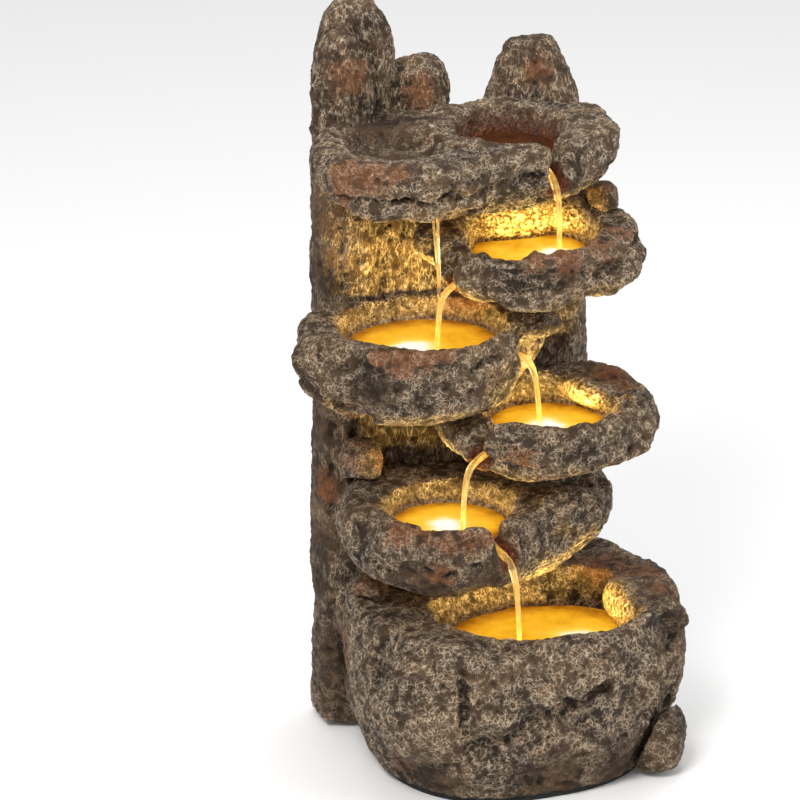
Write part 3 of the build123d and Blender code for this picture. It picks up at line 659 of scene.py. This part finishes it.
# ---------------------------------------------------------------- rock wall
# The tall hollow casting at the back carries every bowl. Upright ribs run down it, and its top is four standing rocks,
# the front left one with a pale raised edge like an arch.
rock(
    "rock_wall", material=column_paint, guide=upright, voxel=1.5, lumpy=3.0, bands=3.2, facets=(26, 16.0, 0.8),
    lumps=[((-69, 58, 328), (17, 9, 64)), ((-80, 62, 90), (7, 20, 22)), ((-68, 47, 94), (14, 7, 16))],
    strokes=[
        ([(-86, 62, 250), (-86, 62, 352), (-83, 59, 376), (-77, 55, 388), (-70, 55, 389), (-62, 57, 379),
            (-55, 62, 364), (-51, 64, 350)], 3.4, 2.4),
        ([(-72, 50, 240), (-71, 50, 320)], 4.0, -2.0), ([(-49, 51, 245), (-47, 51, 315)], 4.5, -2.2),
        ([(-60, 49, 250), (-60, 49, 310)], 6.0, 1.8), ([(-38, 53, 245), (-36, 53, 312)], 3.0, -2.2),
        ([(-50, 51, 154), (-49, 51, 196)], 4.0, -1.6), ([(-66, 50, 110), (-66, 50, 196)], 4.0, -1.6),
        ([(-80, 53, 100), (-79, 53, 330)], 3.0, -1.8), ([(40, 66, 345), (40, 67, 362)], 2.2, -1.6),
        ([(28, 62, 345), (32, 64, 356), (39, 64, 352), (42, 62, 345)], 2.6, 1.4),
        ([(-30, 64, 345), (-29, 65, 360)], 2.2, -1.4),
    ],
    stains=[(-70, 54, 368, 18), (-26, 64, 352, 14), (40, 66, 356, 14), (-84, 54, 140, 16)],
    bare=[(-84, 60, y, 24) for y in range(20, 350, 30)], seed=71,
)

# ---------------------------------------------------------------- water standing in the dishes
# Clear water stands in each dish well under its rim. The lamp below a pool makes it glow gold, white-hot over the
# lens. The source dish has no lamp, so its water stays dark.
pools = {
    "upper_right": {"dish": "upper_right_dish", "level": 276.0, "radii": (33.0, 35.5), "lands": (22, -19)},
    "upper_left": {"dish": "upper_left_dish", "level": 234.0, "radii": (41.0, 36.5), "lands": (-44, -14)},
    "lower_right": {"dish": "lower_right_dish", "level": 187.0, "radii": (33.0, 34.0), "lands": (12, -21)},
    "lower_left": {"dish": "lower_left_dish", "level": 139.0, "radii": (32.0, 32.0), "lands": (-36, -37)},
    "basin": {"dish": "basin", "level": 72.0, "radii": (52.5, 43.5), "lands": (-12, -60)},
    "source": {"dish": "source_dish", "level": 331.0, "radii": (27.0, 27.0), "lands": (9, 30)},
}


def water_material(name, lit):
    """Still water. Lit water glows from amber at its edge to white over its lamp."""
    material = bpy.data.materials.new(name)
    material.use_nodes = True
    shader = material.node_tree.nodes["Principled BSDF"]
    coordinates = add_node(material, "ShaderNodeTexCoord")
    glow = add_node(material, "ShaderNodeAttribute", attribute_name="glow")
    ripples = add_node(material, "ShaderNodeAttribute", attribute_name="ripples")
    drift = noise(material, coordinates, "Object", 75.0, 3.0, 0.5)
    fine = noise(material, coordinates, "Object", 420.0, 2.0, 0.6)
    if lit:
        level = maths(material, "MULTIPLY_ADD", (drift, "Fac"), 0.46, (glow, "Fac"))
        level = maths(material, "MULTIPLY_ADD", (fine, "Fac"), 0.10, (level, "Value"))
        level = maths(material, "SUBTRACT", (level, "Value"), 0.28)
        bright = ramp(material, level, "Value", [
            (0.0, (0.20, 0.060, 0.002, 1)), (0.16, (0.60, 0.235, 0.006, 1)), (0.36, (0.93, 0.46, 0.016, 1)),
            (0.58, (1.0, 0.62, 0.06, 1)), (0.72, (1.0, 0.86, 0.38, 1)), (0.84, (1.0, 1.0, 0.92, 1)),
        ])
        link(material, bright, "Color", shader, "Emission Color")
        shader.inputs["Emission Strength"].default_value = 0.96
        shader.inputs["Base Color"].default_value = (0.10, 0.045, 0.006, 1)
    else:
        tone = ramp(material, drift, "Fac", [(0.2, (0.020, 0.007, 0.003, 1)), (0.8, (0.10, 0.030, 0.010, 1))])
        link(material, tone, "Color", shader, "Base Color")
    shader.inputs["Roughness"].default_value = 0.12
    shader.inputs["IOR"].default_value = 1.33
    shader.inputs["Specular IOR Level"].default_value = 0.15
    height = maths(material, "MULTIPLY_ADD", (drift, "Fac"), 0.5, (ripples, "Fac"))
    bump = add_node(material, "ShaderNodeBump")
    bump.inputs["Strength"].default_value = 0.3
    bump.inputs["Distance"].default_value = 1.0 * MM
    link(material, height, "Value", bump, "Height")
    link(material, bump, "Normal", shader, "Normal")
    return material


lit_water = water_material("lit_water", True)
dark_water = water_material("dark_water", False)


def pool(name, dish, level, radii, lands):
    """A body of water: its rippled surface, and sides that follow the dish down to its floor."""
    rings, taper, lamp_reach, splash_reach, ripple_pitch, ripple_fade = 14, 0.84, 13.5, 6, 1.5, 14
    low, high = openings[dish]
    middle = (low + high) / 2
    floor_z = low.z - 1.5 * MM
    bpy.ops.mesh.primitive_circle_add(vertices=72, radius=1.0, fill_type="NGON")
    water = bpy.context.object
    water.name = name + "_water"
    stretch = Matrix.Diagonal((radii[0] * MM, radii[1] * MM, 1, 1))
    water.data.transform(Matrix.Translation((middle.x, middle.y, level * MM)) @ stretch)
    bpy.ops.object.mode_set(mode="EDIT")
    bpy.ops.mesh.select_all(action="SELECT")
    bpy.ops.mesh.extrude_region_move(TRANSFORM_OT_translate={"value": (0, 0, floor_z - level * MM)})
    bpy.ops.transform.resize(value=(taper, taper, 1), center_override=(middle.x, middle.y, floor_z))
    bpy.ops.mesh.select_all(action="DESELECT")
    bpy.ops.object.mode_set(mode="OBJECT")
    for face in water.data.polygons:
        face.select = face.center.z > level * MM - 1e-5
    bpy.ops.object.mode_set(mode="EDIT")
    for ring in range(rings, 0, -1):
        shrink = ring / (ring + 1)
        bpy.ops.mesh.inset(thickness=1e-6)
        bpy.ops.transform.resize(value=(shrink, shrink, 1), center_override=(middle.x, middle.y, 0))
    bpy.ops.mesh.select_all(action="SELECT")
    bpy.ops.mesh.normals_make_consistent(inside=False)
    bpy.ops.object.mode_set(mode="OBJECT")
    bpy.ops.object.shade_smooth_by_angle(angle=radians(40))
    co = read(water, "co") / MM
    splash = np.hypot(co[:, 0] - lands[0], co[:, 1] - lands[1])
    lens = name + "_lamp_lens"
    if lens in frame["nodes"]:
        lamp = sum(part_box(lens), Vector()) / 2 / MM
        away = np.hypot(co[:, 0] - lamp.x, co[:, 1] - lamp.y)
        edge = np.hypot((co[:, 0] - middle.x / MM) / radii[0], (co[:, 1] - middle.y / MM) / radii[1])
        glow = 0.32 + 0.62 * np.exp(-((away / lamp_reach) ** 2)) + 0.12 * np.exp(-((splash / splash_reach) ** 2))
        store(water, "glow", glow - 0.30 * smooth_step(0.62, 1.0, edge))
    strength = 0.8 if lens in frame["nodes"] else 0.12
    store(water, "ripples", strength * np.cos(splash * ripple_pitch) * np.exp(-splash / ripple_fade))
    water.data.materials.append(lit_water if lens in frame["nodes"] else dark_water)
    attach(water, "fountain")


for name, how in pools.items():
    pool(name, **how)

# ---------------------------------------------------------------- the falls
# Water slides down each worn spout as a thin film and drops to the next pool as a strand that twists and narrows.
falls = {
    "source_fall": [(16, 1, 331.5), (19, -7, 328), (21, -14, 323.5), (22.5, -19.5, 315), (22.5, -21, 298),
        (22, -21, 274.5)],
    "upper_right_fall": [(-9, -2, 276.5), (-24, -8, 272.5), (-36, -12.2, 269), (-41, -14, 263), (-42, -14.5, 250),
        (-43, -15, 232.5)],
    "upper_left_fall": [(-13, -9, 234.5), (-4, -15, 232.5), (4.5, -19.5, 229.5), (9, -21.5, 222), (11, -22, 207),
        (12, -22, 185.5)],
    "lower_right_fall": [(-9, -28, 187.5), (-20, -33, 184), (-31, -38, 180.5), (-35, -39.5, 173), (-36, -39, 159),
        (-36, -38.5, 137.5)],
    "lower_left_fall": [(-25, -43, 139.5), (-22, -52, 136.5), (-18.5, -61, 134), (-15.5, -65, 125), (-13.5, -64, 102),
        (-12, -62, 70.5)],
}
falling = bpy.data.materials.new("falling_water")
falling.use_nodes = True
shader = falling.node_tree.nodes["Principled BSDF"]
# The gold tint is painted lamp light: the falling water itself is clear.
shader.inputs["Base Color"].default_value = (1.0, 0.86, 0.52, 1)
shader.inputs["Roughness"].default_value = 0.03
shader.inputs["IOR"].default_value = 1.33
shader.inputs["Transmission Weight"].default_value = 0.95
glow = add_node(falling, "ShaderNodeAttribute", attribute_name="glow")
coordinates = add_node(falling, "ShaderNodeTexCoord")
squeeze = add_node(falling, "ShaderNodeMapping")
squeeze.inputs["Scale"].default_value = (1.0, 1.0, 0.12)
link(falling, coordinates, "Object", squeeze, "Vector")
streaks = noise(falling, squeeze, "Vector", 900.0, 2.0, 0.6)
lively = maths(falling, "MULTIPLY_ADD", (streaks, "Fac"), 0.9, -0.42)
lively = maths(falling, "ADD", (lively, "Value"), (glow, "Fac"))
tone = ramp(falling, lively, "Value", [
    (0.0, (0.04, 0.018, 0.003, 1)), (0.35, (0.30, 0.16, 0.02, 1)),
    (0.7, (0.74, 0.47, 0.11, 1)), (1.0, (0.96, 0.80, 0.42, 1)),
])
link(falling, tone, "Color", shader, "Emission Color")
shader.inputs["Emission Strength"].default_value = 0.8


def strand(points, thickness, spread, twist, phase):
    """A tapering strand of water along a smooth line, wound a little round its middle."""
    curve = bpy.data.curves.new("strand", "CURVE")
    curve.dimensions = "3D"
    curve.bevel_depth = MM
    curve.bevel_resolution = 3
    curve.use_fill_caps = True
    spline = curve.splines.new("NURBS")
    spline.points.add(len(points) - 1)
    for index, (point, place) in enumerate(zip(spline.points, points)):
        along = index / (len(points) - 1)
        off = Vector((cos(phase + twist * along), sin(phase + twist * along), 0)) * spread * (1 - 0.72 * along)
        point.co = (*((Vector(place) + off) * MM), 1)
        point.radius = thickness * (1.0 - 0.35 * along)
    spline.order_u = 4
    spline.use_endpoint_u = True
    spline.resolution_u = 12
    piece = bpy.data.objects.new("strand", curve)
    bpy.context.scene.collection.objects.link(piece)
    choose(piece)
    bpy.ops.object.convert(target="MESH")
    return bpy.context.object


def fall(name, points, thickness=1.0, spread=2.3, strands=4, dim=0.0):
    """Strands wound round each other and run together. The light in them grows downwards and goes out at the foot."""
    twist, film_voxel = 2.4, 0.45
    pieces = [strand(points, thickness, spread, twist, 0.4 + turn * 2 * pi / strands) for turn in range(strands)]
    piece = pieces[0]
    press_on(piece, pieces[1:])
    piece.name = name
    apply_modifier(piece, "REMESH", mode="VOXEL", voxel_size=film_voxel * MM)
    apply_modifier(piece, "SMOOTH", factor=0.6, iterations=4)
    choose(piece)
    bpy.ops.object.shade_smooth()
    co = read(piece, "co")
    top, bottom = co[:, 2].max(), co[:, 2].min()
    foot = smooth_step(1, 16, (co[:, 2] - bottom) / MM)
    light = 0.22 + 0.46 * ((top - co[:, 2]) / (top - bottom)) ** 1.2
    store(piece, "glow", light * (0.25 + 0.75 * foot) - dim)
    piece.data.materials.append(falling)
    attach(piece, "fountain")


for name, points in falls.items():
    fall(name, points)
fall("drip_line", [(-43.5, -15.5, 312), (-43, -15.2, 298), (-42, -14.8, 280), (-41.2, -14.2, 264)], 0.8, 1.8, 3, 0.16)

# ---------------------------------------------------------------- lamp light over each pool
# Warm light leaves the water upwards and yellows the undersides of the bowls, the inner walls and the rock behind.
# The lamps stand in for that light only, so they aren't seen through the falls or mirrored in anything.
glows = {"upper_right": 0.13, "upper_left": 0.26, "lower_right": 0.19, "lower_left": 0.18, "basin": 0.30}
for name, power in glows.items():
    low, high = openings[pools[name]["dish"]]
    middle = (low + high) / 2
    bpy.ops.object.light_add(type="AREA", location=(middle.x, middle.y, (pools[name]["level"] + 1.5) * MM))
    lamp = bpy.context.object
    lamp.name = name + "_glow"
    lamp.data.shape = "DISK"
    lamp.data.size = 1.1 * min(pools[name]["radii"]) * MM
    lamp.data.energy = power
    lamp.data.color = (1.0, 0.76, 0.22)
    lamp.rotation_euler = (pi, 0, 0)
    lamp.visible_transmission = False
    lamp.visible_glossy = False

# ---------------------------------------------------------------- cover, pump, hose, lamps and leads
# Moulded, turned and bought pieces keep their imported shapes. Each gets the finish that its maker gives it: grained
# covers, satin pump plastic, chalky rubber, brushed steel, clear hose, and yellow chips under a clear lens.


def plain_finish(name, low, high, rough, grain, relief, **sockets):
    """A finish that drifts between two colours, with a fine grain in its roughness and its surface."""
    material = bpy.data.materials.new(name)
    material.use_nodes = True
    shader = material.node_tree.nodes["Principled BSDF"]
    coordinates = add_node(material, "ShaderNodeTexCoord")
    cloud = noise(material, coordinates, "Object", 60.0, 4.0, 0.6)
    fine = noise(material, coordinates, "Object", grain, 3.0, 0.6)
    share = ramp(material, cloud, "Fac", [(0.32, 0.0), (0.68, 1.0)])
    colour = mix(material, (share, "Color"), (*low, 1), (*high, 1))
    link(material, colour, MIXED, shader, "Base Color")
    wear = maths(material, "MULTIPLY_ADD", (fine, "Fac"), 0.22, rough - 0.11)
    link(material, wear, "Value", shader, "Roughness")
    bump = add_node(material, "ShaderNodeBump")
    bump.inputs["Strength"].default_value = 0.6
    bump.inputs["Distance"].default_value = relief * MM
    link(material, fine, "Fac", bump, "Height")
    link(material, bump, "Normal", shader, "Normal")
    for socket, value in sockets.items():
        shader.inputs[socket.replace("_", " ")].default_value = value
    return material


cover_plastic = plain_finish("grained_cover", (0.036, 0.025, 0.019), (0.060, 0.044, 0.034), 0.62, 1500.0, 0.16)
pump_plastic = plain_finish("pump_plastic", (0.010, 0.010, 0.011), (0.018, 0.018, 0.019), 0.42, 2200.0, 0.05)
slider_plastic = plain_finish("slider_plastic", (0.016, 0.017, 0.019), (0.028, 0.029, 0.032), 0.38, 2200.0, 0.05)
vane_plastic = plain_finish("vane_plastic", (0.62, 0.60, 0.55), (0.74, 0.72, 0.66), 0.40, 2000.0, 0.04)
rubber = plain_finish("chalky_rubber", (0.012, 0.012, 0.012), (0.024, 0.023, 0.022), 0.72, 1800.0, 0.08)
resin = plain_finish("potting_resin", (0.010, 0.010, 0.012), (0.016, 0.016, 0.018), 0.24, 500.0, 0.05)
foam = plain_finish("foam_pad", (0.014, 0.014, 0.014), (0.030, 0.029, 0.028), 0.95, 1300.0, 0.35)
steel = plain_finish("brushed_steel", (0.55, 0.54, 0.52), (0.66, 0.65, 0.62), 0.30, 2600.0, 0.03, Metallic=1.0)
ceramic = plain_finish("ceramic", (0.74, 0.72, 0.67), (0.82, 0.80, 0.76), 0.22, 2400.0, 0.02)
chips = plain_finish("lamp_chips", (0.80, 0.52, 0.05), (0.90, 0.66, 0.12), 0.45, 900.0, 0.06)
hose = plain_finish(
    "clear_hose", (0.80, 0.84, 0.84), (0.88, 0.91, 0.90), 0.16, 700.0, 0.03, Transmission_Weight=0.75, IOR=1.43,
)
lens = plain_finish(
    "lamp_lens", (0.90, 0.88, 0.80), (0.96, 0.94, 0.88), 0.12, 900.0, 0.02, Transmission_Weight=0.9, IOR=1.49,
)
sucker = plain_finish(
    "clear_rubber", (0.70, 0.71, 0.69), (0.80, 0.80, 0.78), 0.22, 900.0, 0.03, Transmission_Weight=0.5, IOR=1.45,
)
finishes = {
    "rear_cover": cover_plastic, "cover_screws": steel, "base_pad": foam, "supply_grommet": rubber,
    "lead_splitter": resin, "pump_lead": rubber, "riser_hose": hose, "source_elbow": pump_plastic,
    "pump_housing": pump_plastic, "impeller": vane_plastic, "impeller_shaft": ceramic,
    "impeller_cover": pump_plastic, "intake_cover": pump_plastic, "flow_slider": slider_plastic,
    "suction_cups": sucker,
}
for tier in glows:
    for part, finish in (("cup", pump_plastic), ("board", chips), ("lens", lens), ("lead", rubber)):
        finishes[f"{tier}_lamp_{part}"] = finish
for node, finish in finishes.items():
    piece = frame["nodes"][node]
    for slot in piece.material_slots:
        slot.material = finish
    if not piece.material_slots:
        piece.data.materials.append(finish)
